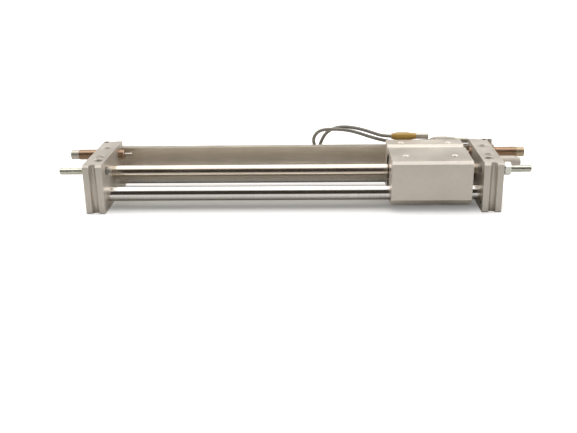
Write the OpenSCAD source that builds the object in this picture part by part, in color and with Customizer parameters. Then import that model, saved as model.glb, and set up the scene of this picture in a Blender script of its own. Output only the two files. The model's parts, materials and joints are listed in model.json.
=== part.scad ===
// Magnetically coupled rodless cylinder, 15 mm bore.
// A slide block runs on two guide shafts around a plain tube. Magnets in the block follow
// the magnets of a piston inside the tube. Adjusting bolts and shock absorbers in the two
// end plates set the ends of the stroke, and a rail at the back carries two switches.
// Origin: at the base, midway between the end plates, below the tube's axis. X is the travel.

/* [Stroke and layout] */
// Distance that the slide block travels
stroke = 300; // [150:10:600]
// Gap between slide block and end plate at each end of the stroke
end_gap = 11; // [9:0.5:16]
// Distance of each guide shaft from the tube, across the travel
shaft_offset = 31; // [30:0.5:36]
// Height of the guide shafts' axes above the base
shaft_z = 16.5; // [16:0.5:19]
// Height of the tube's axis above the base
tube_z = 32; // [31:0.5:34]
// Clearance of each side of a sliding fit
slide_fit = 0.05; // [0.02:0.01:0.08]
// Clearance of each side of a part that passes through another
pass_fit = 0.3; // [0.2:0.05:0.5]

/* [End plates] */
// Thickness of an end plate along the travel
plate_t = 21; // [19:0.5:28]
// Width of an end plate across the travel
plate_w = 104; // [100:1:124]
// Height of an end plate
plate_h = 55; // [54:0.5:66]
// Chamfer at the top corners of an end plate
plate_top_bevel = 2.5; // [1:0.5:4]
// Chamfer at the bottom corners of an end plate
plate_foot_bevel = 1.5; // [1:0.5:5]
// Width of the outer ridge on a plate's narrow faces
outer_ridge_w = 7; // [6.5:0.5:8]
// Width of the groove between the two ridges
edge_groove_w = 7; // [6.5:0.5:7.5]
// Depth of the groove between the two ridges
edge_groove_d = 5; // [2:0.5:6]
// Rounding of the groove's floor
groove_round = 3; // [1:0.1:3.2]
// Rounding of the ridges
ridge_round = 1.2; // [0.5:0.1:1.5]
// Distance of the two mounting holes of a plate from the tube's plane
foot_hole_y = 17.5; // [14:0.5:20]
// Diameter of the mounting holes for M6 screws
foot_hole_d = 6.6; // [6:0.1:7]
// Diameter of the counterbores over the mounting holes
foot_bore_d = 13; // [11:0.5:14]
// Depth of the counterbores over the mounting holes
foot_bore_depth = 10; // [6:0.5:16]

/* [Guide shafts and tube] */
// Diameter of the guide shafts
shaft_d = 16; // [14:0.5:17]
// Depth of the shaft ends in the end plates
shaft_seat = 15; // [10:0.5:17]
// Outer diameter of the tube
tube_d = 16; // [16:0.1:17]
// Bore of the tube
bore_d = 15; // [14.5:0.1:15.2]
// Depth of the tube ends in the end plates
tube_seat = 12; // [9:0.5:14]
// Length of the collar that closes each end of the tube
collar_len = 16; // [14:0.5:17]
// Diameter of the air hole through a collar
air_hole_d = 4; // [3:0.5:5]
// Thickness of the rings that seal the tube ends in the plates
gasket_w = 1.5; // [1:0.1:2]

/* [Slide block] */
// Length of the slide block along the travel
block_len = 86; // [80:1:110]
// Reach of the block in front of the tube's plane
block_front = 51; // [49:0.5:55]
// Reach of the block behind the tube's plane
block_back = 42; // [41.5:0.1:42.5]
// Height of the block's top above the base
block_top = 56.5; // [55:0.5:62]
// Height of the block's underside above the base
block_under = 6; // [4:0.5:6.5]
// Chamfer along the top front edge
block_top_bevel = 3; // [1:0.5:5]
// Chamfer along the bottom front edge
block_foot_bevel = 8; // [2:0.5:9]
// Chamfer along the two rear edges
block_rear_bevel = 1; // [0.5:0.1:1.5]
// Start of the channel along the top, behind the tube's plane
channel_y = 7; // [5:0.5:9]
// Width of the channel along the top
channel_w = 13; // [8:0.5:14]
// Depth of the channel along the top
channel_d = 2.5; // [1:0.5:4]
// Distance between the four load holes, along and across the travel
load_pitch = 53; // [48:1:56]
// Core diameter of the M6 load holes
load_hole_d = 5; // [4:0.1:5.5]
// Depth of the load holes
load_hole_depth = 12; // [8:0.5:14]
// Rim diameter of the load holes' countersinks
load_rim_d = 8; // [6.5:0.5:9]

/* [Magnet coupling] */
// Number of magnet rings in the block and in the piston
magnets = 4; // [2:1:4]
// Length of one magnet ring
magnet_len = 9; // [6:0.5:10]
// Thickness of one yoke ring between magnets
yoke_t = 4; // [2:0.5:4.5]
// Outer diameter of the magnet rings in the block
outer_magnet_d = 34; // [30:0.5:36]
// Outer diameter of the magnet rings in the piston
inner_magnet_d = 13; // [11:0.5:13.5]
// Diameter of the piston's through shaft
piston_shaft_d = 5; // [4:0.5:6]
// Length of one piston
piston_len = 13; // [12:0.5:14]
// Length of the rubber bumper on each end of the piston
piston_bumper = 3; // [2:0.5:4]
// Diameter of the covers that close the block around the tube
cover_d = 38; // [37:0.5:39]
// Thickness of those covers
cover_t = 4; // [3:0.5:5]

/* [Bushings] */
// Wall of the bushings on the guide shafts
bush_wall = 1; // [0.8:0.1:1.3]
// Length of each bushing
bush_len = 25; // [15:1:30]
// Width of the seal ring outside each bushing
bush_seal_w = 3; // [2:0.5:4]

/* [Adjusting bolts] */
// Diameter of the adjusting bolts
bolt_d = 8; // [7:0.5:9]
// Depth of the bolts' axes below the plates' top
bolt_drop = 12; // [10:0.5:13]
// Reach of the left bolt outside its end plate
left_bolt_out = 30.5; // [22:0.5:44]
// Reach of the right bolt outside its end plate
right_bolt_out = 33; // [22:0.5:44]
// Reach of the bolts inside the end plates
bolt_in = 0.5; // [0.5:0.5:3]
// Thickness of the bumper on the inner end of a bolt
bolt_bumper_t = 1.5; // [1:0.5:2]
// Width across flats of the bolts' nuts
bolt_nut_af = 13; // [12:0.5:14]
// Thickness of a nut on the right bolt
bolt_nut_t = 6.5; // [4:0.5:7]
// Thickness of the jam nut between the plate and the nut
jam_nut_t = 4; // [3:0.5:5]

/* [Shock absorbers] */
// Diameter of the absorber bodies
absorber_d = 12; // [10:0.5:13]
// Depth of the absorbers' axes below the plates' top
absorber_drop = 11; // [10:0.5:13]
// Reach of the right absorber outside its end plate
absorber_out = 39; // [34:0.5:50]
// Reach of the left absorber's body inside its end plate
left_absorber_in = 6.5; // [2:0.5:8]
// Reach of the right absorber's body inside its end plate
right_absorber_in = 2; // [1:0.5:3]
// Length of the cap on an absorber's outer end
absorber_cap = 9; // [6:0.5:12]
// Diameter of the absorber's rod
absorber_rod_d = 3.5; // [3:0.1:4]
// Gap left between the rod's tip and the block at the end of the stroke
rod_tip_gap = 0.3; // [0.2:0.1:1]
// Distance that a rod can be pushed in
rod_travel = 7; // [5:0.5:7]

/* [Switch rail] */
// Depth of the rail's top below the plates' top
rail_drop = 6.5; // [5:0.5:8]
// Height of the rail
rail_h = 36; // [32:0.5:38]
// Gap between the slide block and the rail
rail_gap = 1; // [0.8:0.1:1.5]
// Depth of the rail across the travel
rail_depth = 9; // [8.5:0.5:12]
// Reach of the rail's right end outside the right end plate
rail_reach = 8; // [7:0.5:12]
// Width of the stop screw on the rail's top
stop_screw_d = 6.5; // [5:0.5:7]
// Height of the stop screw above the rail
stop_screw_h = 5.5; // [3:0.5:8]
// Depth of the upper switch slot below the rail's top
upper_slot_drop = 12.5; // [10:0.5:13]
// Depth of the lower switch slot below the rail's top
lower_slot_drop = 24.5; // [20:0.5:28]
// Width of the mouth of a switch slot
slot_mouth = 4.4; // [4.3:0.1:4.6]
// Width of a switch slot inside
slot_w = 6; // [5.5:0.1:7]
// Depth of a switch slot
slot_d = 5; // [4.5:0.1:5.5]

/* [Switches and leads] */
// Length of each switch
switch_len = 22; // [18:0.5:26]
// Place of the switching magnet, from the block's centre along the travel
switch_magnet_x = 0; // [-2:0.5:2]
// Diameter of the two leads
lead_d = 4; // [3:0.1:4]
// Diameter of the moulded connectors
plug_d = 9.5; // [8:0.1:9.5]
// Diameter of the metal sleeve at the front of a connector
sleeve_d = 6.6; // [6.4:0.1:7]
// Length of the metal sleeve
sleeve_len = 14; // [8:0.5:14]

/* [Air fitting] */
// Depth of the air port below the plates' top
port_drop = 14; // [13:0.5:17]
// Diameter of the fitting's body
fitting_d = 14; // [12:0.5:14.5]
// Length of the fitting's body outside the plate
fitting_len = 26; // [20:0.5:30]
// Outer diameter of the air tube that the fitting takes
air_tube_d = 6; // [4:0.5:8]

/* [Hidden] */
$fn = 64;
eps = 0.01;

// Places along the travel
plate_gap = stroke + block_len + 2 * end_gap;
inner_x = plate_gap / 2;
outer_x = inner_x + plate_t;
plate_x = inner_x + plate_t / 2;
block_x = inner_x - end_gap - block_len / 2;
tube_end = inner_x + tube_seat;

// Heights above the base that follow the plates' top
bolt_z = plate_h - bolt_drop;
absorber_z = plate_h - absorber_drop;
port_z = plate_h - port_drop;
rail_top = plate_h - rail_drop;

// Plates: small screws, ports and passages
inner_ridge_w = plate_t - outer_ridge_w - edge_groove_w;
lock_screw_d = 10;
lock_screw_sink = 2;
lock_screw_inset = 8;
lock_screw_x = inner_x + lock_screw_inset;
set_screw_d = 5;
set_screw_sink = 1;
face_screw_d = 4;
face_screw_len = 5;
face_screw_z = 9;
face_screw_inset = 9;
face_screw_y = -plate_w / 2 + face_screw_inset;
port_thread_d = 9.7;
port_floor = 1;
port_depth = plate_t - tube_seat - port_floor;
passage_x = outer_x - port_depth + air_hole_d / 2;
socket_af = 4;

// Slide block, magnets and piston
stack_len = magnets * magnet_len + (magnets + 1) * yoke_t;
magnet_pitch = magnet_len + yoke_t;
snap_t = 1.2;
snap_grip = 0.8;
snap_cover = 2;
cover_sink = 0.3;
cover_recess = cover_t + snap_t + cover_sink;
wear_ring_len = (block_len - stack_len) / 2 - cover_recess;
bush_d = shaft_d + 2 * bush_wall;
strike_d = 10;
strike_t = 4;
nipple_d = 5;
nipple_stem_d = 3.5;
nipple_out = 2;
nipple_r = 11;
nipple_turn = 15;
magnet_disc_d = 8;
magnet_disc_t = 2;
piston_d = bore_d - 2 * pass_fit;
ring_d = bore_d - 2 * slide_fit;
seal_core_d = 10.5;
seal_w = 2.5;
seal_at = 5.5;
wear_core_d = 12.4;
wear_w = 3;
wear_at = 1.5;
piston_nut_af = 8;
piston_nut_t = 4;
nut_pocket_d = 10;
nut_pocket_depth = piston_nut_t + 0.5;

// Shock absorbers
// Both absorbers are alike; the left one is screwed further in, which shortens the travel
absorber_len = absorber_out + plate_t + right_absorber_in;
rod_out = end_gap - rod_tip_gap - right_absorber_in;
travel = stroke + right_absorber_in - left_absorber_in;
nose_len = 6;
cavity_d = 8;
spring_room = 23;
flange_d = 7;
flange_t = 4;
cavity_len = flange_t + rod_travel + spring_room;

// Rail, switches and connectors
rail_front = block_back + rail_gap;
rail_back = rail_front + rail_depth;
rail_low = rail_top - rail_h;
rail_left = -outer_x;
rail_right = outer_x + rail_reach;
clamp_screw_x = outer_x - outer_ridge_w / 2;
clamp_screw_inset = 2.3;
clamp_screw_y = rail_front + clamp_screw_inset;
clamp_screw_d = 3;
clamp_head_d = 5.5;
clamp_head_t = 3;
clamp_head_sink = 0.5;
clamp_len = 8;
rail_top_groove_w = 1.6;
rail_top_groove_d = 1;
slot_lip = 1;
slot_top_z = rail_top - upper_slot_drop;
slot_low_z = rail_top - lower_slot_drop;
magnet_disc_z = (slot_top_z + slot_low_z) / 2;
switch_w = slot_w - 0.4;
switch_screw_d = 3;
left_switch_x = block_x - travel + switch_magnet_x;
right_switch_x = block_x + switch_magnet_x;
plug_len = 29;
plug_neck_d = 7;
plug_neck_len = 6;
plug_taper_at = 18;
sleeve_bore = 5.2;
sleeve_floor = 4;

// Routes of the two leads. Each runs from its switch along the slot, out of the slot, up
// behind the rail and forward over it to its connector, round bends of three diameters or
// more. The points of a loop are counted from the rail's top rear edge at the right plate.
slot_pitch = 11;
lead_sink = 2.9;
lead_y = rail_back - lead_sink;
lead_sag = 0.5;
left_loop = [[-216, -2.7, -24.7], [-208, -1.8, -24.5], [-200, 0.2, -24.5], [-192, 3.2, -24],
    [-185, 6, -21], [-179.5, 7.8, -15.7], [-175.6, 8.4, -9], [-173, 8, -2], [-170.4, 7.2, 4.5],
    [-166.7, 6.7, 10.7], [-161.5, 6, 15.3], [-154, 5, 18.8], [-144, 3.7, 20.1],
    [-133, 2, 19.3], [-122, 0, 17.2], [-112, -1.7, 14.3], [-102, -3.1, 11.5], [-90, -3.8, 10.3]];
right_loop = [[-141, -2.7, -12.7], [-149.5, -1.9, -12.5], [-157.5, -0.1, -12.5],
    [-165.5, 2.4, -12], [-172.5, 3.6, -9.7], [-177.5, 3.8, -5.3], [-180.2, 3.4, 0.5],
    [-180.6, 2.9, 6], [-178.4, 2.2, 11.3], [-174, 1.6, 15.5], [-167, 1, 17.7],
    [-158, 0.2, 18.2], [-148, -0.7, 17.9], [-138, -1.5, 16.6], [-128, -2.3, 14.1],
    [-118, -2.9, 10.8], [-108, -3.4, 7.8], [-97, -3.5, 5.1], [-85, -3.5, 3.4],
    [-72, -3.5, 3.4], [-61, -3.5, 3.8], [-52, -3.5, 4.4], [-44, -3.5, 4.8]];
function loop_points(loop) = [for (p = loop) [inner_x + p[0], rail_back + p[1], rail_top + p[2]]];
function slot_points(from, to, z) =
    let (steps = ceil(abs(to - from) / slot_pitch))
    [for (i = [0 : steps - 1]) [from + (to - from) * i / steps, lead_y, z - lead_sag]];
left_route = concat(
    slot_points(left_switch_x + switch_len / 2, inner_x + left_loop[0][0], slot_low_z),
    loop_points(left_loop));
right_route = concat(
    slot_points(right_switch_x - switch_len / 2, inner_x + right_loop[0][0], slot_top_z),
    loop_points(right_loop));
left_plug = left_route[len(left_route) - 1];
right_plug = right_route[len(right_route) - 1];
lead_sides = 10;

module both_ends() {
    children();
    mirror([1, 0, 0]) children();
}

// Cylinder along the travel, starting at x
module rod_x(x, len, d, y = 0, z = 0) {
    translate([x, y, z]) rotate([0, 90, 0]) cylinder(h = len, d = d);
}

// Hexagonal bar along the travel, with a corner on top
module hex_x(x, len, af, y = 0, z = 0) {
    translate([x, y, z]) rotate([0, 90, 0]) cylinder(h = len, d = af / cos(30), $fn = 6);
}

// Ring around the travel direction
module ring_x(x, len, d_out, d_in, y = 0, z = 0) {
    difference() {
        rod_x(x, len, d_out, y, z);
        rod_x(x - eps, len + 2 * eps, d_in, y, z);
    }
}

// Outline across the travel, drawn as (y, z) and extruded from x
module extrude_x(x, len) {
    translate([x, 0, 0]) rotate([90, 0, 90]) linear_extrude(len) children();
}

module rounded_rect(w, d, r) {
    translate([r, 0]) square([w - 2 * r, d]);
    translate([0, r]) square([w, d - 2 * r]);
    for (x = [r, w - r], y = [r, d - r]) translate([x, y]) circle(r);
}

// Hexagonal nut on a bar, its two outer edges bevelled
module nut_x(x, len, af, bore, y, z) {
    bevel = 0.8;
    corner_d = af / cos(30);
    difference() {
        intersection() {
            hex_x(x, len, af, y, z);
            translate([x, y, z]) rotate([0, 90, 0]) rotate_extrude()
                polygon([[0, 0], [corner_d / 2 - bevel, 0], [corner_d / 2, bevel],
                    [corner_d / 2, len - bevel], [corner_d / 2 - bevel, len], [0, len]]);
        }
        rod_x(x - eps, len + 2 * eps, bore, y, z);
    }
}

// Plan of one plate, from its inner face at x = 0 outwards
module plate_plan() {
    ridge_len = 2 * edge_groove_d + 2 * ridge_round;
    cut_len = 4 * groove_round;
    translate([0, -plate_w / 2 + edge_groove_d]) square([plate_t, plate_w - 2 * edge_groove_d]);
    for (turn = [0, 1]) mirror([0, turn, 0]) translate([0, -plate_w / 2]) {
        rounded_rect(inner_ridge_w, ridge_len, ridge_round);
        translate([plate_t - outer_ridge_w, 0]) rounded_rect(outer_ridge_w, ridge_len, ridge_round);
        translate([inner_ridge_w, edge_groove_d]) difference() {
            translate([-eps, -groove_round]) square([edge_groove_w + 2 * eps, groove_round + eps]);
            translate([0, -cut_len]) rounded_rect(edge_groove_w, cut_len, groove_round);
        }
    }
}

// Side view of one plate, with bevelled corners
module plate_side() {
    half = plate_w / 2;
    polygon([[-half + plate_foot_bevel, 0], [half - plate_foot_bevel, 0],
        [half, plate_foot_bevel], [half, plate_h - plate_top_bevel],
        [half - plate_top_bevel, plate_h], [-half + plate_top_bevel, plate_h],
        [-half, plate_h - plate_top_bevel], [-half, plate_foot_bevel]]);
}

module foot_holes() {
    for (y = [-foot_hole_y, foot_hole_y]) {
        translate([plate_x, y, -eps]) cylinder(h = plate_h, d = foot_hole_d);
        translate([plate_x, y, plate_h - foot_bore_depth]) cylinder(h = foot_bore_depth + 1, d = foot_bore_d);
    }
}

// Air way from the port in the outer face down to the end of the tube
module air_way() {
    rod_x(outer_x - port_depth, port_depth + 1, port_thread_d, 0, port_z);
    rod_x(tube_end - eps, passage_x - tube_end + eps, air_hole_d, 0, tube_z);
    translate([passage_x, 0, tube_z]) cylinder(h = port_z - tube_z, d = air_hole_d);
    translate([passage_x, 0, tube_z]) sphere(d = air_hole_d);
}

// End plate at the positive end; the other one is its mirror image
module end_plate() {
    difference() {
        intersection() {
            translate([inner_x, 0, 0]) linear_extrude(plate_h) plate_plan();
            extrude_x(inner_x, plate_t) plate_side();
        }
        foot_holes();
        air_way();
        for (y = [-shaft_offset, shaft_offset]) {
            rod_x(inner_x - 1, shaft_seat + 1, shaft_d, y, shaft_z);
            translate([inner_x + shaft_seat / 2, y, -1]) cylinder(h = shaft_z, d = set_screw_d);
        }
        rod_x(inner_x - 1, tube_seat + 1, tube_d, 0, tube_z);
        rod_x(inner_x + tube_seat / 2, gasket_w, tube_d + 2 * gasket_w, 0, tube_z);
        rod_x(inner_x - 1, plate_t + 2, bolt_d + 2 * slide_fit, -shaft_offset, bolt_z);
        rod_x(inner_x - 1, plate_t + 2, absorber_d, shaft_offset, absorber_z);
        translate([lock_screw_x, -shaft_offset, bolt_z]) cylinder(h = plate_h, d = lock_screw_d);
        rod_x(inner_x - 1, face_screw_len + 1, face_screw_d, face_screw_y, face_screw_z);
        translate([inner_x - 1, rail_front, rail_low]) cube([plate_t + 2, plate_w, rail_h]);
        translate([clamp_screw_x, clamp_screw_y, rail_low]) cylinder(h = plate_h, d = clamp_screw_d);
        translate([clamp_screw_x, clamp_screw_y, plate_h - clamp_head_t])
            cylinder(h = plate_h, d = clamp_head_d);
    }
}

module left_end_plate() {
    color("#b9ad9e") mirror([1, 0, 0]) end_plate();
}

module right_end_plate() {
    color("#b9ad9e") end_plate();
}

module cylinder_tube() {
    color("#d8cbb6") ring_x(-tube_end, 2 * tube_end, tube_d, bore_d, 0, tube_z);
}

module tube_end_collars() {
    color("#c9c2b4") both_ends()
        ring_x(tube_end - collar_len, collar_len, bore_d, air_hole_d, 0, tube_z);
}

module tube_gaskets() {
    color("#2b2b2b") both_ends()
        ring_x(inner_x + tube_seat / 2, gasket_w, tube_d + 2 * gasket_w, tube_d, 0, tube_z);
}

module guide_shaft(y) {
    end_bevel = 0.5;
    half = inner_x + shaft_seat;
    translate([-half, y, shaft_z]) rotate([0, 90, 0]) rotate_extrude()
        polygon([[0, 0], [shaft_d / 2 - end_bevel, 0], [shaft_d / 2, end_bevel],
            [shaft_d / 2, 2 * half - end_bevel], [shaft_d / 2 - end_bevel, 2 * half], [0, 2 * half]]);
}

module front_guide_shaft() {
    color("#e6e2da") guide_shaft(-shaft_offset);
}

module rear_guide_shaft() {
    color("#e6e2da") guide_shaft(shaft_offset);
}

// Upright set screw with a hexagonal socket, from z up to z + len
module set_screw(x, y, z, len, d, socket_up = true) {
    socket_depth = len / 2;
    translate([x, y, z]) difference() {
        cylinder(h = len, d = d);
        translate([0, 0, socket_up ? len - socket_depth : -eps])
            cylinder(h = socket_depth + eps, d = d / 2, $fn = 6);
    }
}

module shaft_set_screws() {
    shaft_bottom = shaft_z - shaft_d / 2;
    color("#3a3a3c") both_ends()
        for (y = [-shaft_offset, shaft_offset])
            set_screw(inner_x + shaft_seat / 2, y, set_screw_sink, shaft_bottom - set_screw_sink,
                set_screw_d, false);
}

module bolt_lock_screws() {
    low = bolt_z + bolt_d / 2 + pass_fit;
    color("#3a3a3c") both_ends()
        set_screw(lock_screw_x, -shaft_offset, low, plate_h - lock_screw_sink - low, lock_screw_d);
}

module inner_face_screws() {
    color("#6d6a64") both_ends() difference() {
        rod_x(inner_x, face_screw_len, face_screw_d, face_screw_y, face_screw_z);
        hex_x(inner_x - eps, face_screw_len / 2, face_screw_d / 2, face_screw_y, face_screw_z);
    }
}

// Slot that opens at the rail's back at height z
module switch_slot(z) {
    translate([rail_back - slot_d, z - slot_w / 2]) square([slot_d - slot_lip, slot_w]);
    translate([rail_back - slot_d, z - slot_mouth / 2]) square([slot_d + 1, slot_mouth]);
}

module rail_profile() {
    difference() {
        translate([rail_front, rail_low]) square([rail_depth, rail_h]);
        switch_slot(slot_top_z);
        switch_slot(slot_low_z);
        translate([(rail_front + rail_back - rail_top_groove_w) / 2, rail_top - rail_top_groove_d])
            square([rail_top_groove_w, rail_top_groove_d + 1]);
    }
}

module switch_rail() {
    color("#a39b8c") difference() {
        extrude_x(rail_left, rail_right - rail_left) rail_profile();
        both_ends() translate([clamp_screw_x, clamp_screw_y, rail_top - clamp_len])
            cylinder(h = clamp_len + 1, d = clamp_screw_d);
    }
}

module rail_clamp_screws() {
    head_z = plate_h - clamp_head_t;
    screw_len = head_z - rail_top + clamp_len;
    head_h = clamp_head_t - clamp_head_sink;
    color("#4a4843") both_ends() translate([clamp_screw_x, clamp_screw_y, head_z]) difference() {
        union() {
            translate([0, 0, -screw_len]) cylinder(h = screw_len, d = clamp_screw_d);
            cylinder(h = head_h, d = clamp_head_d);
        }
        translate([0, 0, head_h / 2]) cylinder(h = head_h, d = clamp_head_d / 2, $fn = 6);
    }
}

// Cap screw on the rail's top, against the outer face of the right plate
module rail_stop_screw() {
    place_y = rail_back - stop_screw_d / 2;
    color("#9a958a") translate([outer_x + stop_screw_d / 2, place_y, rail_top]) difference() {
        cylinder(h = stop_screw_h, d = stop_screw_d);
        translate([0, 0, stop_screw_h / 2]) cylinder(h = stop_screw_h, d = stop_screw_d / 2, $fn = 6);
    }
}

// One-touch fitting in the right plate's port
module port_fitting() {
    base_t = 5;
    bevel_len = 4;
    bevel = 1.5;
    radius = fitting_d / 2;
    color("#d9cdbd") difference() {
        union() {
            rod_x(outer_x - port_depth, port_depth + base_t, port_thread_d, 0, port_z);
            hex_x(outer_x, base_t, fitting_d - 1, 0, port_z);
            translate([outer_x + base_t - eps, 0, port_z]) rotate([0, 90, 0]) rotate_extrude()
                polygon([[0, 0], [radius, 0], [radius, fitting_len - base_t - bevel_len],
                    [radius - bevel, fitting_len - base_t], [0, fitting_len - base_t]]);
        }
        rod_x(passage_x - air_hole_d / 2 - eps, fitting_len + port_depth + 1, air_hole_d, 0, port_z);
        rod_x(outer_x + fitting_len / 2, fitting_len, air_tube_d + 2, 0, port_z);
    }
}

module release_ring() {
    lip_t = 2;
    lip_step = 1.75;
    lip_d = fitting_d - 2 * lip_step;
    tube_bore = air_tube_d + 2 * slide_fit;
    color("#cfc6b8") difference() {
        union() {
            rod_x(outer_x + fitting_len / 2, fitting_len / 2, air_tube_d + 2, 0, port_z);
            rod_x(outer_x + fitting_len, lip_t, lip_d, 0, port_z);
        }
        rod_x(outer_x + fitting_len / 2 - eps, fitting_len, tube_bore, 0, port_z);
    }
}

module left_port_plug() {
    plug_t = port_depth - air_hole_d;
    color("#8f8a80") mirror([1, 0, 0]) difference() {
        rod_x(outer_x - plug_t, plug_t - 0.5, port_thread_d, 0, port_z);
        hex_x(outer_x - plug_t / 2, plug_t, socket_af, 0, port_z);
    }
}

// Adjusting bolt at the positive end, with a socket in its outer end
module adjusting_bolt(out) {
    end_bevel = 1;
    len = plate_t + out + bolt_in;
    stud_d = 3;
    translate([inner_x - bolt_in, -shaft_offset, bolt_z]) difference() {
        rotate([0, 90, 0]) rotate_extrude()
            polygon([[0, 0], [bolt_d / 2, 0], [bolt_d / 2, len - end_bevel],
                [bolt_d / 2 - end_bevel, len], [0, len]]);
        hex_x(len - socket_af, socket_af + 1, socket_af);
        rod_x(-eps, 2 * bolt_bumper_t, stud_d);
    }
}

module bolt_bumper() {
    stud_d = 3;
    color("#3b3733") union() {
        rod_x(inner_x - bolt_in - bolt_bumper_t, bolt_bumper_t, bolt_d + 1, -shaft_offset, bolt_z);
        rod_x(inner_x - bolt_in - eps, 2 * bolt_bumper_t - 2 * eps, stud_d, -shaft_offset, bolt_z);
    }
}

module left_adjusting_bolt() {
    color("#c3c6b2") mirror([1, 0, 0]) adjusting_bolt(left_bolt_out);
}

module left_bolt_bumper() {
    mirror([1, 0, 0]) bolt_bumper();
}

module right_adjusting_bolt() {
    color("#c3c6b2") adjusting_bolt(right_bolt_out);
}

module right_bolt_bumper() {
    bolt_bumper();
}

module right_bolt_nut() {
    color("#d8d6d0") nut_x(outer_x + jam_nut_t, bolt_nut_t, bolt_nut_af, bolt_d + 2 * slide_fit,
        -shaft_offset, bolt_z);
}

module right_bolt_jam_nut() {
    color("#3d3a36") nut_x(outer_x, jam_nut_t, bolt_nut_af, bolt_d + 2 * slide_fit,
        -shaft_offset, bolt_z);
}

// Puts an absorber's piece in its place in the plate at the positive end
module absorber_place(reach_in) {
    translate([inner_x - reach_in, shaft_offset, absorber_z]) children();
}

// Threaded body, hollow for the rod's flange
module absorber_body() {
    color("#6b5238") difference() {
        rod_x(0, absorber_len - absorber_cap, absorber_d);
        rod_x(-eps, nose_len + 2 * eps, absorber_rod_d + 2 * slide_fit);
        rod_x(nose_len, cavity_len, cavity_d);
    }
}

module absorber_cap_piece() {
    difference() {
        rod_x(absorber_len - absorber_cap, absorber_cap, absorber_d - 0.8);
        rod_x(absorber_len - 1.5, 2, absorber_d / 2);
    }
}

module absorber_rod() {
    color("#cfcac0") union() {
        rod_x(-rod_out, rod_out + nose_len + flange_t, absorber_rod_d);
        rod_x(nose_len, flange_t, flange_d);
    }
}

module left_absorber_body() {
    mirror([1, 0, 0]) absorber_place(left_absorber_in) absorber_body();
}

module right_absorber_body() {
    absorber_place(right_absorber_in) absorber_body();
}

module left_absorber_cap() {
    color("#c9c8c0") mirror([1, 0, 0]) absorber_place(left_absorber_in) absorber_cap_piece();
}

module right_absorber_cap() {
    color("#a98f6a") absorber_place(right_absorber_in) absorber_cap_piece();
}

module left_absorber_rod() {
    mirror([1, 0, 0]) absorber_place(left_absorber_in) absorber_rod();
}

module right_absorber_rod() {
    absorber_place(right_absorber_in) absorber_rod();
}

module block_profile() {
    difference() {
        polygon([[-block_front + block_foot_bevel, block_under], [block_back - block_rear_bevel, block_under],
            [block_back, block_under + block_rear_bevel], [block_back, block_top - block_rear_bevel],
            [block_back - block_rear_bevel, block_top], [-block_front + block_top_bevel, block_top],
            [-block_front, block_top - block_top_bevel], [-block_front, block_under + block_foot_bevel]]);
        polygon([[channel_y, block_top + eps], [channel_y, block_top],
            [channel_y + channel_d, block_top - channel_d],
            [channel_y + channel_w - channel_d, block_top - channel_d],
            [channel_y + channel_w, block_top], [channel_y + channel_w, block_top + eps]]);
    }
}

module load_hole() {
    rim_depth = (load_rim_d - load_hole_d) / 2;
    translate([0, 0, -load_hole_depth]) cylinder(h = load_hole_depth + 1, d = load_hole_d);
    translate([0, 0, -rim_depth]) cylinder(h = rim_depth + eps, d1 = load_hole_d, d2 = load_rim_d + 2 * eps);
}

// Places the children at the block's left end and, mirrored, at its right end
module block_ends() {
    for (turn = [0, 1]) translate([block_x, 0, 0]) mirror([turn, 0, 0])
        translate([-block_len / 2, 0, 0]) children();
}

module slide_block() {
    color("#bbb1a3") difference() {
        extrude_x(block_x - block_len / 2, block_len) block_profile();
        rod_x(block_x - block_len / 2 - 1, block_len + 2, outer_magnet_d, 0, tube_z);
        for (y = [-shaft_offset, shaft_offset])
            rod_x(block_x - block_len / 2 - 1, block_len + 2, bush_d, y, shaft_z);
        for (x = [-load_pitch / 2, load_pitch / 2], y = [-load_pitch / 2, load_pitch / 2])
            translate([block_x + x, y, block_top]) load_hole();
        translate([block_x + switch_magnet_x, block_back - magnet_disc_t, magnet_disc_z])
            rotate([-90, 0, 0]) cylinder(h = magnet_disc_t + 1, d = magnet_disc_d);
        block_ends() {
            rod_x(-1, cover_recess + 1, cover_d, 0, tube_z);
            rod_x(cover_sink, snap_t, cover_d + 2 * snap_grip, 0, tube_z);
            rod_x(-1, strike_t + 1, strike_d, -shaft_offset, bolt_z);
            rod_x(-1, strike_t + 1, strike_d, shaft_offset, absorber_z);
        }
    }
}

module outer_magnets() {
    color("#5a5c60") for (i = [0 : magnets - 1])
        ring_x(block_x - stack_len / 2 + yoke_t + i * magnet_pitch, magnet_len,
            outer_magnet_d, tube_d + 2 * pass_fit, 0, tube_z);
}

module outer_yokes() {
    color("#8b8d90") for (i = [0 : magnets])
        ring_x(block_x - stack_len / 2 + i * magnet_pitch, yoke_t,
            outer_magnet_d, tube_d + 2 * pass_fit, 0, tube_z);
}

module tube_wear_rings() {
    color("#e0ddd2") block_ends()
        ring_x(cover_recess, wear_ring_len, outer_magnet_d, tube_d + 2 * slide_fit, 0, tube_z);
}

// Point on an end cover where the grease nipple stands
nipple_y = nipple_r * sin(nipple_turn);
nipple_z = tube_z - nipple_r * cos(nipple_turn);

module block_end_covers() {
    color("#9b9488") block_ends() difference() {
        ring_x(cover_sink + snap_t, cover_t, cover_d, tube_d + 2 * pass_fit, 0, tube_z);
        rod_x(0, cover_recess + eps, nipple_stem_d, nipple_y, nipple_z);
    }
}

// Snap rings that hold the covers, each with its gap at the top
module cover_rings() {
    gap_w = 6;
    color("#4d4a46") block_ends() difference() {
        ring_x(cover_sink, snap_t, cover_d + 2 * snap_grip, cover_d - 2 * snap_cover, 0, tube_z);
        translate([0, -gap_w / 2, tube_z]) cube([cover_recess, gap_w, cover_d]);
    }
}

module grease_nipples() {
    color("#efe3c0") block_ends() union() {
        rod_x(0, cover_recess, nipple_stem_d, nipple_y, nipple_z);
        rod_x(-nipple_out, nipple_out + cover_sink + snap_t, nipple_d, nipple_y, nipple_z);
    }
}

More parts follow.
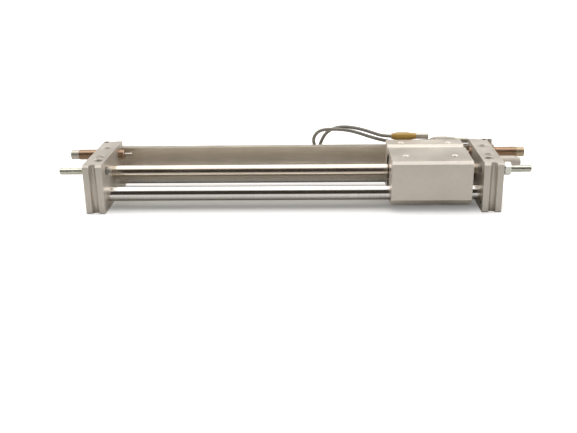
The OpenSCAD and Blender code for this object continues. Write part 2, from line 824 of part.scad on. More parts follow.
module guide_bushings() {
    color("#a98a55") block_ends() for (y = [-shaft_offset, shaft_offset])
        ring_x(bush_seal_w, bush_len, bush_d, shaft_d + 2 * slide_fit, y, shaft_z);
}

module bushing_seals() {
    color("#2f2d2b") block_ends() for (y = [-shaft_offset, shaft_offset])
        ring_x(0, bush_seal_w, bush_d, shaft_d + 2 * slide_fit, y, shaft_z);
}

module strike_pads() {
    color("#57534d") block_ends() {
        rod_x(0, strike_t, strike_d, -shaft_offset, bolt_z);
        rod_x(0, strike_t, strike_d, shaft_offset, absorber_z);
    }
}

module switch_magnet() {
    color("#3c3c40") translate([block_x + switch_magnet_x, block_back - magnet_disc_t, magnet_disc_z])
        rotate([-90, 0, 0]) cylinder(h = magnet_disc_t, d = magnet_disc_d);
}

// Places the children at both ends of the piston's magnet stack, facing outwards
module stack_ends() {
    for (turn = [0, 1]) translate([block_x, 0, tube_z]) mirror([turn, 0, 0])
        translate([stack_len / 2, 0, 0]) children();
}

module piston_shaft() {
    half = stack_len / 2 + piston_len;
    color("#c8c6c0") rod_x(block_x - half, 2 * half, piston_shaft_d, 0, tube_z);
}

module inner_magnets() {
    color("#5a5c60") for (i = [0 : magnets - 1])
        ring_x(block_x - stack_len / 2 + yoke_t + i * magnet_pitch, magnet_len,
            inner_magnet_d, piston_shaft_d, 0, tube_z);
}

module inner_yokes() {
    color("#8b8d90") for (i = [0 : magnets])
        ring_x(block_x - stack_len / 2 + i * magnet_pitch, yoke_t,
            inner_magnet_d, piston_shaft_d, 0, tube_z);
}

module pistons() {
    color("#b0aca2") stack_ends() difference() {
        rod_x(0, piston_len, piston_d);
        rod_x(-eps, piston_len + 1, piston_shaft_d);
        rod_x(piston_len - nut_pocket_depth, nut_pocket_depth + 1, nut_pocket_d);
        ring_x(seal_at, seal_w, piston_d + 1, seal_core_d);
        ring_x(wear_at, wear_w, piston_d + 1, wear_core_d);
    }
}

module piston_seals() {
    color("#242424") stack_ends() ring_x(seal_at, seal_w, ring_d, seal_core_d);
}

module piston_wear_rings() {
    color("#8a6b3e") stack_ends() ring_x(wear_at, wear_w, ring_d, wear_core_d);
}

module piston_nuts() {
    color("#8f8d88") stack_ends()
        nut_x(piston_len - nut_pocket_depth, piston_nut_t, piston_nut_af, piston_shaft_d, 0, 0);
}

module piston_bumpers() {
    color("#3b3733") stack_ends() ring_x(piston_len, piston_bumper, piston_d - 1, nut_pocket_d);
}

// Switch body in a slot; lead_side is the end that its lead leaves from
module slot_switch(x, z, lead_side) {
    screw_x = x - lead_side * (switch_len / 2 - switch_screw_d);
    color("#3f4144") difference() {
        translate([x - switch_len / 2, rail_back - slot_d, z - switch_w / 2])
            cube([switch_len, slot_d - slot_lip, switch_w]);
        translate([screw_x, rail_back - slot_d - eps, z]) rotate([-90, 0, 0])
            cylinder(h = slot_d, d = switch_screw_d);
    }
}

module switch_screw(x, z, lead_side) {
    screw_x = x - lead_side * (switch_len / 2 - switch_screw_d);
    translate([screw_x, rail_back - slot_d, z]) rotate([-90, 0, 0])
        cylinder(h = slot_d - slot_lip, d = switch_screw_d);
}

module left_switch() {
    slot_switch(left_switch_x, slot_low_z, 1);
}

module right_switch() {
    slot_switch(right_switch_x, slot_top_z, -1);
}

module switch_screws() {
    color("#b9b6ae") {
        switch_screw(left_switch_x, slot_low_z, 1);
        switch_screw(right_switch_x, slot_top_z, -1);
    }
}

// Tube of n sides swept along a route
function unit(v) = v / norm(v);
function route_dir(route, i) = unit(route[min(i + 1, len(route) - 1)] - route[max(i - 1, 0)]);
function route_side(dir) = unit(cross([0, 0, 1], dir));
function ring_points(route, i, r, n) =
    let (dir = route_dir(route, i), side = route_side(dir), up = cross(dir, side))
    [for (k = [0 : n - 1]) route[i] + r * (cos(360 * k / n) * side + sin(360 * k / n) * up)];

module sweep(route, d, n) {
    count = len(route);
    points = [for (i = [0 : count - 1]) each ring_points(route, i, d / 2, n)];
    sides = [for (i = [0 : count - 2], k = [0 : n - 1])
        [i * n + k, i * n + (k + 1) % n, (i + 1) * n + (k + 1) % n, (i + 1) * n + k]];
    first = [for (k = [0 : n - 1]) n - 1 - k];
    last = [for (k = [0 : n - 1]) (count - 1) * n + k];
    polyhedron(points, concat(sides, [first], [last]), convexity = 4);
}

module left_lead() {
    color("#a39f93") sweep(left_route, lead_d, lead_sides);
}

module right_lead() {
    color("#a39f93") sweep(right_route, lead_d, lead_sides);
}

// Moulded connector, widest in the middle, from the point where its lead enters
module connector(place) {
    translate(place) rotate([0, 90, 0]) rotate_extrude()
        polygon([[0, 0], [plug_neck_d / 2, 0], [plug_d / 2, plug_neck_len],
            [plug_d / 2, plug_taper_at], [sleeve_d / 2 + 0.1, plug_len], [0, plug_len]]);
}

module connector_sleeve(place) {
    color("#cfccc4") translate(place) difference() {
        rod_x(plug_len, sleeve_len, sleeve_d);
        rod_x(plug_len + sleeve_floor, sleeve_len, sleeve_bore);
    }
}

module left_connector() {
    color("#c8a53c") connector(left_plug);
}

module right_connector() {
    color("#b3aea2") connector(right_plug);
}

module left_connector_sleeve() {
    connector_sleeve(left_plug);
}

module right_connector_sleeve() {
    connector_sleeve(right_plug);
}

left_end_plate();
right_end_plate();
cylinder_tube();
tube_end_collars();
tube_gaskets();
front_guide_shaft();
rear_guide_shaft();
shaft_set_screws();
bolt_lock_screws();
inner_face_screws();
switch_rail();
rail_clamp_screws();
rail_stop_screw();
port_fitting();
release_ring();
left_port_plug();
left_adjusting_bolt();
left_bolt_bumper();
right_adjusting_bolt();
right_bolt_bumper();
right_bolt_nut();
right_bolt_jam_nut();
left_absorber_body();
right_absorber_body();
left_absorber_cap();
right_absorber_cap();
left_absorber_rod();
right_absorber_rod();
slide_block();
outer_magnets();
outer_yokes();
tube_wear_rings();
block_end_covers();
cover_rings();
grease_nipples();
guide_bushings();
bushing_seals();
strike_pads();
switch_magnet();
piston_shaft();
inner_magnets();
inner_yokes();
pistons();
piston_seals();
piston_wear_rings();
piston_nuts();
piston_bumpers();
left_switch();
right_switch();
switch_screws();
left_lead();
right_lead();
left_connector();
right_connector();
left_connector_sleeve();
right_connector_sleeve();
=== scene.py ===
"""Looks of a magnetically coupled rodless air cylinder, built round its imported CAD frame.

Metres throughout, in the row frame: +X along the travel, +Y towards the switch rail, +Z up.
"""

import json
import math

import bmesh
import bpy
from mathutils import Matrix, Vector


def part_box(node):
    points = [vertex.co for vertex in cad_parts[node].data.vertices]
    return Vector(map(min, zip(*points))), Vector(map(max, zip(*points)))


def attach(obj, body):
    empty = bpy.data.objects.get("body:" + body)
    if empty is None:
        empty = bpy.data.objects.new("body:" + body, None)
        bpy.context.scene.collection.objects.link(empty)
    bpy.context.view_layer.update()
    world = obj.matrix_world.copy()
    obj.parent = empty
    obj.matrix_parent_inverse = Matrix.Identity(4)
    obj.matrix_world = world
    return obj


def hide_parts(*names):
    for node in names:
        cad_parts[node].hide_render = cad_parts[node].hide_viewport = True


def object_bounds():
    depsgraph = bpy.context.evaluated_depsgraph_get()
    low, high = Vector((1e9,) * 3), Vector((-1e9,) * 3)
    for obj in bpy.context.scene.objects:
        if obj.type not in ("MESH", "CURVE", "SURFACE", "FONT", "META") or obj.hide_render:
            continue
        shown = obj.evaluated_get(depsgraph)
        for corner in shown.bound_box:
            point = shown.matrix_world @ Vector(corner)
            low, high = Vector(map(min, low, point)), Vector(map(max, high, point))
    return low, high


MM = 0.001
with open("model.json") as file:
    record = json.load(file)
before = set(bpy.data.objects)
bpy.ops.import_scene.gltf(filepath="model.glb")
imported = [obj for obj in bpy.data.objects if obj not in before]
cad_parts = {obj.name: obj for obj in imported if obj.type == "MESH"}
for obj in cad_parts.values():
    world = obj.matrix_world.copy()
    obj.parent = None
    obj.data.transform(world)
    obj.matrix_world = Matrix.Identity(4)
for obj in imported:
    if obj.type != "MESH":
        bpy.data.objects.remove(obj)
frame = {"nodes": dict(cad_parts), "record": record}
nodes = frame["nodes"]
cad_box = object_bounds()


# ---------------------------------------------------------------- camera

CAMERA_PLACE = Vector((28.24, -872.79, 303.02)) * MM
CAMERA_YAW = math.radians(-2.241)  # to the left of +Y
CAMERA_PITCH = math.radians(20.464)  # below the horizon
CAMERA_ROLL = math.radians(1.017)
CAMERA_LENS = 50.38
CAMERA_SENSOR = 36.0


def make_camera():
    """Camera at the photograph's place, turned by yaw, pitch and roll."""
    forward = Vector(
        (
            math.sin(CAMERA_YAW) * math.cos(CAMERA_PITCH),
            math.cos(CAMERA_YAW) * math.cos(CAMERA_PITCH),
            -math.sin(CAMERA_PITCH),
        )
    )
    level = Vector((math.cos(CAMERA_YAW), -math.sin(CAMERA_YAW), 0))
    down = forward.cross(level)
    right = math.cos(CAMERA_ROLL) * level + math.sin(CAMERA_ROLL) * down
    up = -(math.cos(CAMERA_ROLL) * down - math.sin(CAMERA_ROLL) * level)
    turn = Matrix((right, up, -forward)).transposed()
    data = bpy.data.cameras.new("camera")
    data.lens = CAMERA_LENS
    data.sensor_fit = "HORIZONTAL"
    data.sensor_width = CAMERA_SENSOR
    data.clip_start, data.clip_end = 0.02, 50
    camera = bpy.data.objects.new("camera", data)
    camera.matrix_world = Matrix.Translation(CAMERA_PLACE) @ turn.to_4x4()
    bpy.context.scene.collection.objects.link(camera)
    bpy.context.scene.camera = camera


make_camera()


# ---------------------------------------------------------------- materials


class Shader:
    """A node material whose colour, gloss and relief vary over the surface."""

    def __init__(self, name):
        self.material = bpy.data.materials.new(name)
        self.material.use_nodes = True
        self.tree = self.material.node_tree
        self.principled = self.tree.nodes["Principled BSDF"]
        self.place = self.add("ShaderNodeTexCoord").outputs["Object"]

    def add(self, kind, **settings):
        node = self.tree.nodes.new(kind)
        for key, value in settings.items():
            setattr(node, key, value)
        return node

    def link(self, source, target):
        self.tree.links.new(source, target)

    def set(self, **sockets):
        for key, value in sockets.items():
            self.principled.inputs[key.replace("_", " ")].default_value = value

    def stretched(self, stretch):
        mapping = self.add("ShaderNodeMapping")
        mapping.inputs["Scale"].default_value = stretch
        self.link(self.place, mapping.inputs["Vector"])
        return mapping.outputs["Vector"]

    def noise(self, scale, detail=4.0, stretch=(1, 1, 1)):
        node = self.add("ShaderNodeTexNoise")
        node.inputs["Scale"].default_value = scale
        node.inputs["Detail"].default_value = detail
        self.link(self.stretched(stretch), node.inputs["Vector"])
        return node.outputs["Fac"]

    def spread(self, factor, low, high, start=0.3, end=0.7):
        node = self.add("ShaderNodeMapRange")
        node.inputs["From Min"].default_value = start
        node.inputs["From Max"].default_value = end
        node.inputs["To Min"].default_value = low
        node.inputs["To Max"].default_value = high
        self.link(factor, node.inputs["Value"])
        return node.outputs["Result"]

    def ramp(self, factor, stops):
        node = self.add("ShaderNodeValToRGB")
        while len(node.color_ramp.elements) < len(stops):
            node.color_ramp.elements.new(0.5)
        for element, (place, colour) in zip(node.color_ramp.elements, stops):
            element.position = place
            element.color = (*colour, 1)
        self.link(factor, node.inputs["Fac"])
        return node.outputs["Color"]

    def mix(self, factor, first, second, blend="MIX"):
        node = self.add("ShaderNodeMix", data_type="RGBA", blend_type=blend)
        for socket, value in ((0, factor), (6, first), (7, second)):
            if isinstance(value, bpy.types.NodeSocket):
                self.link(value, node.inputs[socket])
            else:
                node.inputs[socket].default_value = (
                    value if socket == 0 else (*value, 1)
                )
        return node.outputs[2]

    def blend(self, factor, first, second):
        """Number that goes from first to second as the factor goes from 0 to 1."""
        node = self.add("ShaderNodeMix", data_type="FLOAT")
        for socket, value in ((0, factor), (2, first), (3, second)):
            if isinstance(value, bpy.types.NodeSocket):
                self.link(value, node.inputs[socket])
            else:
                node.inputs[socket].default_value = value
        return node.outputs[0]

    def vector(self, operation, first, second=None):
        node = self.add("ShaderNodeVectorMath", operation=operation)
        self.link(first, node.inputs[0])
        if second is not None:
            node.inputs[1].default_value = second
        return node.outputs["Value" if operation == "LENGTH" else "Vector"]

    def in_bores(self, place, radius):
        """1 inside upright bores at place, mirrored to both ends and both sides."""
        from_bore = self.vector("SUBTRACT", self.vector("ABSOLUTE", self.place), (*place, 0))
        flat = self.vector("MULTIPLY", from_bore, (1, 1, 0))
        return self.spread(self.vector("LENGTH", flat), 1, 0, radius, radius + BORE_EDGE)

    def colour(self, socket):
        self.link(socket, self.principled.inputs["Base Color"])

    def gloss(self, socket):
        self.link(socket, self.principled.inputs["Roughness"])

    def relief(self, height, depth):
        bump = self.add("ShaderNodeBump")
        bump.inputs["Strength"].default_value = 1.0
        bump.inputs["Distance"].default_value = depth
        self.link(height, bump.inputs["Height"])
        self.link(bump.outputs["Normal"], self.principled.inputs["Normal"])


def shade(colour, factor):
    return tuple(min(1.0, c * factor) for c in colour)


# Counterbore colour: bare machined metal, made paler still as a painted highlight for the light
# on the bore walls
BORE_BARE_AND_LIT_COLOUR = (0.95, 0.92, 0.87)
BORE_ROUGHNESS = 0.4
BORE_EDGE = 0.02 * MM


def finish_surface(
    name,
    colour,
    metallic,
    roughness,
    grain=900,
    stretch=(1, 1, 1),
    depth=6e-6,
    variation=0.08,
    blotch=22,
    gloss_variation=0.06,
    bores=None,
    **sockets,
):
    """Colour that drifts in soft blotches and fine grain, with relief from the same grain.
    bores gives the place and radius of counterbores, which are painted paler than the rest:
    bare machined metal, brightened further as a painted highlight for the light on their walls."""
    s = Shader(name)
    s.set(Metallic=metallic, **sockets)
    wide = s.noise(blotch, 3.0)
    fine = s.noise(grain, 5.0, stretch)
    base = s.ramp(
        wide,
        [
            (0.3, shade(colour, 1 - variation)),
            (0.5, colour),
            (0.72, shade(colour, 1 + variation)),
        ],
    )
    speck = s.ramp(fine, [(0.25, (0.86,) * 3), (0.6, (1.0,) * 3)])
    base = s.mix(1.0, base, speck, "MULTIPLY")
    gloss = s.spread(wide, roughness - gloss_variation, roughness + gloss_variation)
    if bores:
        # Painted highlight: the counterbores take the pale bore colour
        bare_lit_bore = s.in_bores(*bores)
        base = s.mix(bare_lit_bore, base, BORE_BARE_AND_LIT_COLOUR)
        gloss = s.blend(bare_lit_bore, gloss, BORE_ROUGHNESS)
    s.colour(base)
    s.gloss(gloss)
    s.relief(fine, depth)
    return s.material


# Counterbores of the foot holes: place from the middle, and radius
FOOT_BORE = ((214.5 * MM, 17.5 * MM), 6.55 * MM)
SLOT_SURFACES = {
    # slot: colour, metallic, roughness and how the grain runs
    "plate": dict(
        colour=(0.76, 0.70, 0.62),
        metallic=0.6,
        roughness=0.42,
        grain=1500,
        depth=5e-6,
        bores=FOOT_BORE,
    ),
    "block": dict(
        colour=(0.82, 0.75, 0.665), metallic=0.6, roughness=0.40, grain=1500, depth=5e-6
    ),
    "rail": dict(
        colour=(0.84, 0.77, 0.67),
        metallic=0.75,
        roughness=0.38,
        grain=1100,
        stretch=(0.04, 1, 1),
        depth=8e-6,
    ),
    "tube": dict(
        colour=(0.74, 0.66, 0.56),
        metallic=1.0,
        roughness=0.20,
        grain=900,
        stretch=(0.03, 1, 1),
        depth=2e-6,
        variation=0.05,
    ),
    "ground_steel": dict(
        colour=(0.78, 0.75, 0.71),
        metallic=1.0,
        roughness=0.13,
        grain=1200,
        stretch=(1, 0.05, 0.05),
        depth=1e-6,
        variation=0.04,
        gloss_variation=0.03,
    ),
    "bare_aluminium": dict(
        colour=(0.60, 0.57, 0.52), metallic=1.0, roughness=0.36, grain=1300, depth=6e-6
    ),
    "black_steel": dict(
        colour=(0.055, 0.05, 0.045), metallic=0.7, roughness=0.42, grain=1600, depth=6e-6
    ),
    "dark_steel": dict(
        colour=(0.53, 0.39, 0.28), metallic=0.95, roughness=0.3, grain=1500, depth=4e-6
    ),
    "zinc_steel": dict(
        colour=(0.80, 0.80, 0.72), metallic=1.0, roughness=0.25, grain=1300, depth=4e-6
    ),
    "fitting": dict(
        colour=(0.84, 0.75, 0.66), metallic=0.0, roughness=0.34, grain=1000, depth=7e-6
    ),
    "tan_cap": dict(
        colour=(0.60, 0.46, 0.30), metallic=0.5, roughness=0.30, grain=1000, depth=6e-6
    ),
    "magnet": dict(
        colour=(0.16, 0.16, 0.17), metallic=0.8, roughness=0.5, grain=1500, depth=1.5e-5
    ),
    "yoke": dict(
        colour=(0.42, 0.42, 0.43), metallic=1.0, roughness=0.34, grain=1200, depth=6e-6
    ),
    "white_plastic": dict(
        colour=(0.72, 0.70, 0.64), metallic=0.0, roughness=0.5, grain=1100, depth=8e-6
    ),
    "nickel": dict(
        colour=(0.90, 0.87, 0.78), metallic=0.9, roughness=0.22, grain=1000, depth=3e-6
    ),
    "grey_bumper": dict(
        colour=(0.30, 0.29, 0.26), metallic=0.3, roughness=0.25, grain=1000, depth=5e-6
    ),
    "bronze": dict(
        colour=(0.52, 0.37, 0.17), metallic=1.0, roughness=0.35, grain=1400, depth=6e-6
    ),
    "bronze_plastic": dict(
        colour=(0.30, 0.18, 0.08), metallic=0.0, roughness=0.5, grain=1200, depth=8e-6
    ),
    "black_rubber": dict(
        colour=(0.035, 0.032, 0.029), metallic=0.0, roughness=0.62, grain=1400, depth=1.2e-5
    ),
    "switch": dict(
        colour=(0.06, 0.06, 0.065), metallic=0.0, roughness=0.45, grain=1300, depth=1.0e-5
    ),
    "lead": dict(
        colour=(0.36, 0.34, 0.29),
        metallic=0.0,
        roughness=0.36,
        grain=800,
        depth=8e-6,
        Coat_Weight=0.25,
        Coat_Roughness=0.25,
    ),
    "yellow_plastic": dict(
        colour=(0.66, 0.43, 0.11),
        metallic=0.0,
        roughness=0.34,
        grain=900,
        depth=7e-6,
        Coat_Weight=0.2,
        Coat_Roughness=0.2,
    ),
    "pale_plastic": dict(
        colour=(0.66, 0.61, 0.53), metallic=0.0, roughness=0.44, grain=900, depth=7e-6
    ),
    "satin_steel": dict(
        colour=(0.62, 0.58, 0.50), metallic=0.7, roughness=0.42, grain=1300, depth=3e-6
    ),
}
# Plated pieces with a satin finish, whatever the finish of their slot
SATIN_NODES = (
    "left_absorber_cap",
    "left_absorber_rod",
    "right_absorber_rod",
    "left_connector_sleeve",
    "right_connector_sleeve",
)
surfaces = {
    slot: finish_surface(slot + "_surface", **settings)
    for slot, settings in SLOT_SURFACES.items()
}
slot_of = {row["node"]: row["material_slot"] for row in frame["record"]["subparts"]}


def dress(piece, slot):
    """Gives a piece the surface of a record slot."""
    piece.data.materials.clear()
    piece.data.materials.append(surfaces[slot])


for name, node in nodes.items():
    for place in node.material_slots:
        place.material = surfaces["satin_steel" if name in SATIN_NODES else slot_of[name]]


EDGE_WIDTH = 0.3 * MM
EDGE_ANGLE = math.radians(35)
WELD_DISTANCE = 1e-6


def soften_edges(name, width):
    """Small bevel on a machined piece's edges, so that they catch the light."""
    node = nodes[name]
    weld = node.modifiers.new("weld", "WELD")
    weld.merge_threshold = WELD_DISTANCE
    bevel = node.modifiers.new("edges", "BEVEL")
    bevel.width = width
    bevel.segments = 2
    bevel.limit_method = "ANGLE"
    bevel.angle_limit = EDGE_ANGLE
    bevel.use_clamp_overlap = False
    bevel.harden_normals = True


for name in ("left_end_plate", "right_end_plate", "slide_block", "switch_rail"):
    soften_edges(name, EDGE_WIDTH)


# ---------------------------------------------------------------- mesh helpers


def add_object(name, data, body, slot, replaced=()):
    piece = bpy.data.objects.new(name, data)
    bpy.context.scene.collection.objects.link(piece)
    dress(piece, slot)
    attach(piece, body)
    if replaced:
        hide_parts(*replaced)
    return piece


def hexagon(across_flats):
    """Radius of a hexagon at an angle, with a corner on top."""

    def radius(angle):
        part = angle % (math.pi / 3) - math.pi / 6
        return across_flats / 2 / math.cos(part)

    return radius


def lathe(name, place, direction, rings, segments=48):
    """Closed mesh of rings round the travel direction. A ring is its distance from place, and
    its radius or a function that gives the radius at an angle."""
    mesh = bpy.data.meshes.new(name)
    work = bmesh.new()
    rows = []
    for along, radius in rings:
        row = []
        for k in range(segments):
            angle = 2 * math.pi * k / segments
            r = radius(angle) if callable(radius) else radius
            row.append(
                work.verts.new(
                    (
                        place[0] + direction * along,
                        place[1] + r * math.sin(angle),
                        place[2] + r * math.cos(angle),
                    )
                )
            )
        rows.append(row)
    for near, far in zip(rows, rows[1:]):
        for k in range(segments):
            work.faces.new(
                (near[k], near[(k + 1) % segments], far[(k + 1) % segments], far[k])
            )
    bmesh.ops.remove_doubles(work, verts=work.verts, dist=1e-8)
    bmesh.ops.recalc_face_normals(work, faces=work.faces)
    work.to_mesh(mesh)
    work.free()
    mesh.shade_smooth()
    mesh.set_sharp_from_angle(angle=math.radians(40))
    return mesh


def threaded_rings(length, diameter, pitch, depth, bevel, steps=8):
    """Rings of a screw thread, bevelled at both ends."""

    def ring(along):
        def radius(angle):
            phase = (along / pitch - angle / (2 * math.pi)) % 1.0
            crest = min(1.0, max(0.0, (abs(2 * phase - 1) - 0.12) / 0.72))
            groove = depth * (1 - crest)
            ends = max(0.0, bevel - along, bevel - (length - along))
            return diameter / 2 - max(groove, ends)

        return radius

    count = round(length / pitch * steps)
    return [(length * i / count, ring(length * i / count)) for i in range(count + 1)]


# ---------------------------------------------------------------- leads

inner_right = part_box("right_end_plate")[0].x
rail_low_corner, rail_high_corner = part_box("switch_rail")
LEAD_DIAMETER = 4 * MM
SLOT_PITCH = 11 * MM
LEAD_DEPTH = 2.9 * MM  # of the lead's axis in front of the rail's rear face
LEFT_SLOT_DROP = 24.5 * MM  # from the rail's top to the middle of the slot
RIGHT_SLOT_DROP = 12.5 * MM
LEAD_SAG = 0.5 * MM  # of the lead's axis below the middle of the slot
# Loops of the leads, in mm from the rail's top rear edge at the right plate
LEFT_LOOP = [
    (-216, -2.7, -24.7), (-208, -1.8, -24.5), (-200, 0.2, -24.5), (-192, 3.2, -24),
    (-185, 6, -21), (-179.5, 7.8, -15.7), (-175.6, 8.4, -9), (-173, 8, -2),
    (-170.4, 7.2, 4.5), (-166.7, 6.7, 10.7), (-161.5, 6, 15.3), (-154, 5, 18.8),
    (-144, 3.7, 20.1), (-133, 2, 19.3), (-122, 0, 17.2), (-112, -1.7, 14.3),
    (-102, -3.1, 11.5), (-90, -3.8, 10.3),
]  # fmt: skip
RIGHT_LOOP = [
    (-141, -2.7, -12.7), (-149.5, -1.9, -12.5), (-157.5, -0.1, -12.5), (-165.5, 2.4, -12),
    (-172.5, 3.6, -9.7), (-177.5, 3.8, -5.3), (-180.2, 3.4, 0.5), (-180.6, 2.9, 6),
    (-178.4, 2.2, 11.3), (-174, 1.6, 15.5), (-167, 1, 17.7), (-158, 0.2, 18.2),
    (-148, -0.7, 17.9), (-138, -1.5, 16.6), (-128, -2.3, 14.1), (-118, -2.9, 10.8),
    (-108, -3.4, 7.8), (-97, -3.5, 5.1), (-85, -3.5, 3.4), (-72, -3.5, 3.4),
    (-61, -3.5, 3.8), (-52, -3.5, 4.4), (-44, -3.5, 4.8),
]  # fmt: skip


def lead_route(exit_x, slot_drop, loop):
    corner = Vector((inner_right, rail_high_corner.y, rail_high_corner.z))
    looped = [corner + Vector(point) * MM for point in loop]
    slot_z = rail_high_corner.z - slot_drop - LEAD_SAG
    steps = math.ceil(abs(looped[0].x - exit_x) / SLOT_PITCH)
    straight = [
        Vector(
            (
                exit_x + (looped[0].x - exit_x) * i / steps,
                rail_high_corner.y - LEAD_DEPTH,
                slot_z,
            )
        )
        for i in range(steps)
    ]
    return straight + looped


def add_lead(name, node, route):
    curve = bpy.data.curves.new(name, "CURVE")
    curve.dimensions = "3D"
    curve.bevel_depth = LEAD_DIAMETER / 2
    curve.bevel_resolution = 6
    curve.resolution_u = 8
    curve.use_fill_caps = True
    spline = curve.splines.new("BEZIER")
    spline.bezier_points.add(len(route) - 1)
    for point, place in zip(spline.bezier_points, route):
        point.co = place
        point.handle_left_type = point.handle_right_type = "AUTO"
    piece = add_object(name, curve, "frame", "lead", (node,))
    return piece


# ---------------------------------------------------------------- connectors


def connector_rings(length, neck, body, front, neck_length, taper_at):
    """Moulded body with ring grooves on its neck and shallow flutes on its grip."""
    flutes, flute_depth = 10, 0.28 * MM

    def fluted(radius, share):
        return lambda angle: radius - share * flute_depth * (
            0.5 + 0.5 * math.cos(flutes * angle)
        )

    rings = [(0, 0), (0, neck - 0.5 * MM), (0.4 * MM, neck)]
    for i in range(3):
        start = (0.9 + 1.5 * i) * MM
        radius = neck + (body - neck) * start / neck_length
        rings += [
            (start, radius),
            (start + 0.15 * MM, radius - 0.45 * MM),
            (start + 0.65 * MM, radius - 0.45 * MM),
            (start + 0.8 * MM, radius),
        ]
    rings += [(neck_length, fluted(body, 0)), (neck_length + 1.2 * MM, fluted(body, 1))]
    rings += [
        (taper_at - 1.2 * MM, fluted(body, 1)),
        (taper_at, fluted(body, 0)),
        (length - 1.0 * MM, front + (body - front) * 1.0 * MM / (length - taper_at)),
        (length, front),
        (length, 0),
    ]
    return rings


def add_connector(name, node, slot):
    low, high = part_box(node)
    middle = (low + high) / 2
    body = (high.z - low.z) / 2
    rings = connector_rings(
        high.x - low.x,
        neck=3.5 * MM,
        body=body,
        front=3.4 * MM,
        neck_length=6 * MM,
        taper_at=18 * MM,
    )
    mesh = lathe(name, (low.x, middle.y, middle.z), 1, rings, 60)
    return add_object(name, mesh, "frame", slot, (node,))


left_plug = add_connector("left_connector_body", "left_connector", "yellow_plastic")
right_plug = add_connector("right_connector_body", "right_connector", "pale_plastic")
add_lead(
    "left_lead_cable",
    "left_lead",
    lead_route(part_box("left_switch")[1].x, LEFT_SLOT_DROP, LEFT_LOOP),
)
add_lead(
    "right_lead_cable",
    "right_lead",
    lead_route(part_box("right_switch")[0].x, RIGHT_SLOT_DROP, RIGHT_LOOP),
)


# ---------------------------------------------------------------- threaded pieces


def add_bolt(name, node, body, direction):
    """Adjusting bolt with an 8 mm thread, a bumper hole inside and a hexagon socket outside."""
    low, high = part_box(node)
    inner = low.x if direction > 0 else high.x
    length = high.x - low.x
    diameter = high.z - low.z
    socket, socket_mouth, socket_depth = hexagon(4 * MM), 2.6 * MM, 4 * MM
    stud, stud_depth = 1.5 * MM, 3 * MM
    rings = [(stud_depth, 0), (stud_depth, stud), (0, stud)]
    rings += threaded_rings(
        length, diameter, pitch=1.25 * MM, depth=0.62 * MM, bevel=0.9 * MM
    )
    rings += [
        (length, socket_mouth),
        (length - 0.3 * MM, socket),
        (length - socket_depth, socket),
        (length - socket_depth, 0),
    ]
    place = (inner, (low.y + high.y) / 2, (low.z + high.z) / 2)
    mesh = lathe(name, place, direction, rings, 48)
    return add_object(name, mesh, body, "zinc_steel", (node,))


def add_absorber(name, node, direction):
    """Absorber body with a fine 12 mm thread and the rod's hole in its nose."""
    low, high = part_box(node)
    inner = low.x if direction > 0 else high.x
    length = high.x - low.x
    diameter = high.z - low.z
    rod_hole = 1.8 * MM
    chamber, nose, chamber_length = 4 * MM, 6 * MM, 34 * MM
    rings = [
        (nose + chamber_length, 0),
        (nose + chamber_length, chamber),
        (nose, chamber),
        (nose, rod_hole),
        (0.5 * MM, rod_hole),
        (0, rod_hole + 0.5 * MM),
        (0, diameter / 2 - 1.2 * MM),
    ]
    rings += threaded_rings(
        length, diameter, pitch=1.0 * MM, depth=0.5 * MM, bevel=0.7 * MM
    )
    rings += [(length, 0)]
    place = (inner, (low.y + high.y) / 2, (low.z + high.z) / 2)
    mesh = lathe(name, place, direction, rings, 56)
    return add_object(name, mesh, "frame", "dark_steel", (node,))


add_bolt("left_bolt_threaded", "left_adjusting_bolt", "left_bolt", -1)
add_bolt("right_bolt_threaded", "right_adjusting_bolt", "right_bolt", 1)
add_absorber("left_absorber_threaded", "left_absorber_body", -1)
add_absorber("right_absorber_threaded", "right_absorber_body", 1)


# ---------------------------------------------------------------- studio


def add_stage(name, corners, material, camera_sees=True):
    mesh = bpy.data.meshes.new(name)
    mesh.from_pydata(corners, [], [(0, 1, 2, 3)])
    mesh.materials.append(material)
    piece = bpy.data.objects.new(name, mesh)
    piece.visible_camera = camera_sees
    bpy.context.scene.collection.objects.link(piece)
    return piece


def plain_material(name, colour, roughness=0.9):
    s = Shader(name)
    s.set(Base_Color=(*colour, 1), Roughness=roughness, Specular_IOR_Level=0.1)
    return s.material


def add_area(name, place, target, size, power, colour):
    data = bpy.data.lights.new(name, "AREA")
    data.shape = "RECTANGLE"
    data.size, data.size_y = size
    data.energy = power
    data.color = colour
    light = bpy.data.objects.new(name, data)
    light.location = place
    light.rotation_mode = "QUATERNION"
    aim = Vector(target) - Vector(place)
    light.rotation_quaternion = aim.to_track_quat("-Z", "Y")
    bpy.context.scene.collection.objects.link(light)


def make_world(strength):
    """White to the camera and in reflections, and softer as light."""
    world = bpy.data.worlds.new("studio")
    world.use_nodes = True
    tree = world.node_tree
    background = tree.nodes["Background"]
    background.inputs["Color"].default_value = (1, 1, 1, 1)
    path = tree.nodes.new("ShaderNodeLightPath")
    seen = path.outputs["Is Camera Ray"]
    for ray in ("Is Glossy Ray", "Is Transmission Ray"):
        either = tree.nodes.new("ShaderNodeMath")
        either.operation = "MAXIMUM"
        tree.links.new(seen, either.inputs[0])
        tree.links.new(path.outputs[ray], either.inputs[1])
        seen = either.outputs[0]
    level = tree.nodes.new("ShaderNodeMapRange")
    level.inputs["To Min"].default_value = strength
    level.inputs["To Max"].default_value = 1.0
    tree.links.new(seen, level.inputs["Value"])
    tree.links.new(level.outputs["Result"], background.inputs["Strength"])
    bpy.context.scene.world = world


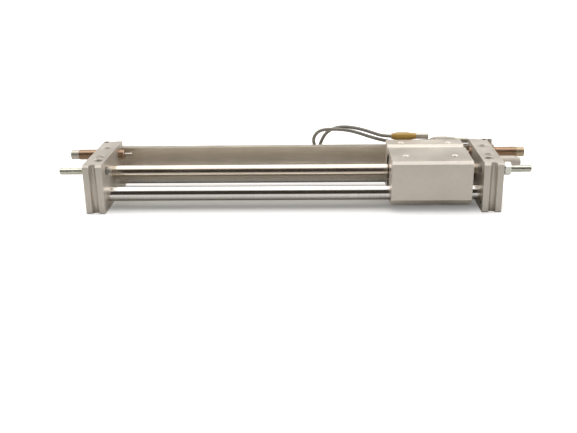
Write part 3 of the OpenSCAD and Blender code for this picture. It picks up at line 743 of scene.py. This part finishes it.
def floor_material(paint, under, near, far, half_size, reach):
    """Pale paint, greyed beneath the object as a painted shadow. The camera sees it lifted to
    white away from the object, and hardly lifted beneath it, where the object's shadow lies."""
    s = Shader("floor_paint")
    s.set(Roughness=0.9, Specular_IOR_Level=0.1, Emission_Color=(1, 1, 1, 1))
    mottled = s.ramp(s.noise(3.0, 2.0), [(0.3, shade(paint, 0.99)), (0.7, paint)])
    beyond = s.vector("SUBTRACT", s.vector("ABSOLUTE", s.place), (*half_size, 0))
    distance = s.vector("LENGTH", s.vector("MAXIMUM", beyond, (0, 0, 0)))
    away = s.spread(distance, 0, 1, 0, reach)
    # Painted shadow: the paint turns grey towards the object
    s.colour(s.mix(away, under, mottled))
    lift = s.blend(away, near, far)
    path = s.add("ShaderNodeLightPath")
    glow = s.add("ShaderNodeMath", operation="MULTIPLY")
    s.link(path.outputs["Is Camera Ray"], glow.inputs[0])
    s.link(lift, glow.inputs[1])
    s.link(glow.outputs[0], s.principled.inputs["Emission Strength"])
    return s.material


def add_card(name, y, low, top, half_width, colour):
    """Upright card that the camera can't see, for the bright parts to reflect."""
    add_stage(
        name,
        [
            (-half_width, y, low),
            (half_width, y, low),
            (half_width, y, top),
            (-half_width, y, top),
        ],
        plain_material(name + "_felt", colour),
        camera_sees=False,
    )


FLOOR_HALF = 6.0
FLOOR_GAP = 0.05 * MM
floor_z = cad_box[0].z - FLOOR_GAP
add_stage(
    "floor",
    [
        (-FLOOR_HALF, -FLOOR_HALF, floor_z),
        (FLOOR_HALF, -FLOOR_HALF, floor_z),
        (FLOOR_HALF, FLOOR_HALF, floor_z),
        (-FLOOR_HALF, FLOOR_HALF, floor_z),
    ],
    floor_material(
        paint=(0.88, 0.88, 0.875),
        # painted shadow: greyer paint beneath the object
        under=(0.5, 0.485, 0.45),
        near=0.14,
        far=0.7,
        half_size=(0.2, 0.025),
        reach=0.045,
    ),
)
CARD_HALF_WIDTH = 4.0
add_card("front_card", -1.9, 0.02, 3.0, CARD_HALF_WIDTH, (0.09, 0.075, 0.062))
add_card("rear_card", 2.4, 0.02, 1.3, CARD_HALF_WIDTH, (0.45, 0.43, 0.40))
make_world(strength=0.6)
add_area(
    "overhead_softbox",
    place=(0, 0.36, 1.1),
    target=(0, 0.36, 0),
    size=(2.6, 1.44),
    power=13.5,
    colour=(1, 0.985, 0.96),
)

view = bpy.context.scene.view_settings
view.view_transform = "Standard"
